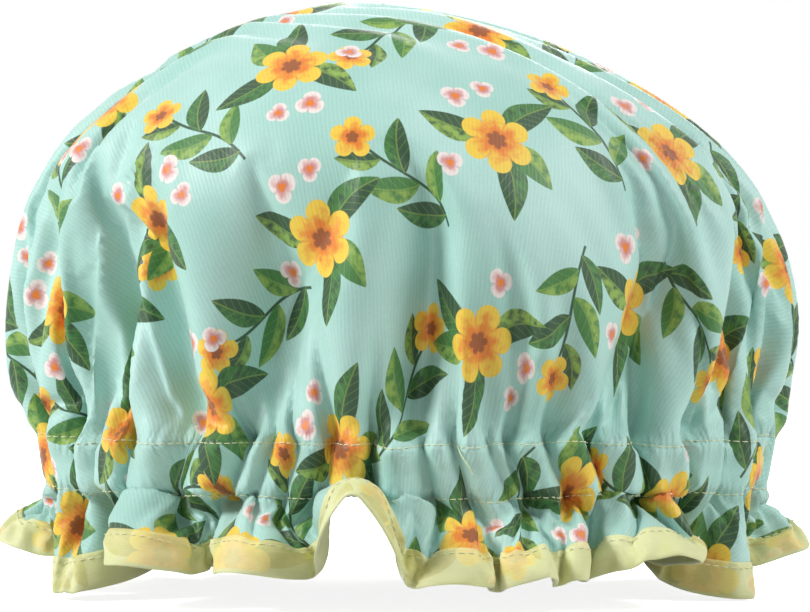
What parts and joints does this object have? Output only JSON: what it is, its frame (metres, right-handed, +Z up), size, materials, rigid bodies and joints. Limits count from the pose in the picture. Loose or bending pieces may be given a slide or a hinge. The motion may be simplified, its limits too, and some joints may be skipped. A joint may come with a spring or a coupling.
{
  "type": "shower cap",
  "caption": "Bouffant shower cap of printed cloth with a waterproof lining, gathered by an elastic in a sewn channel, with a bound ruffle.",
  "frame": {"origin": "on the ground plane under the middle of the cap's bounding box, with the hem standing on z = 0", "axes": "+Z up to the crown, +X along the long axis of the oval mouth, the front faces -Y"},
  "size_m": [0.2756, 0.2066, 0.2006],
  "materials": {
    "printed_cloth": "mint woven polyester with a fine rib, a soft sheen and a print of yellow flowers and green leaves",
    "lining_film": "frosted white waterproof film",
    "elastic": "white knitted elastic",
    "binding_tape": "pale yellow satin tape",
    "thread": "cream sewing thread"
  },
  "bodies": {
    "root": {"outer_shell": "printed_cloth", "waterproof_lining": "lining_film", "elastic_band": "elastic", "elastic_join_thread": "thread", "upper_row_needle_thread": "thread", "upper_row_bobbin_thread": "thread", "lower_row_needle_thread": "thread", "lower_row_bobbin_thread": "thread", "edge_binding": "binding_tape", "binding_needle_thread": "thread", "binding_bobbin_thread": "thread"}
  },
  "joints": []
}
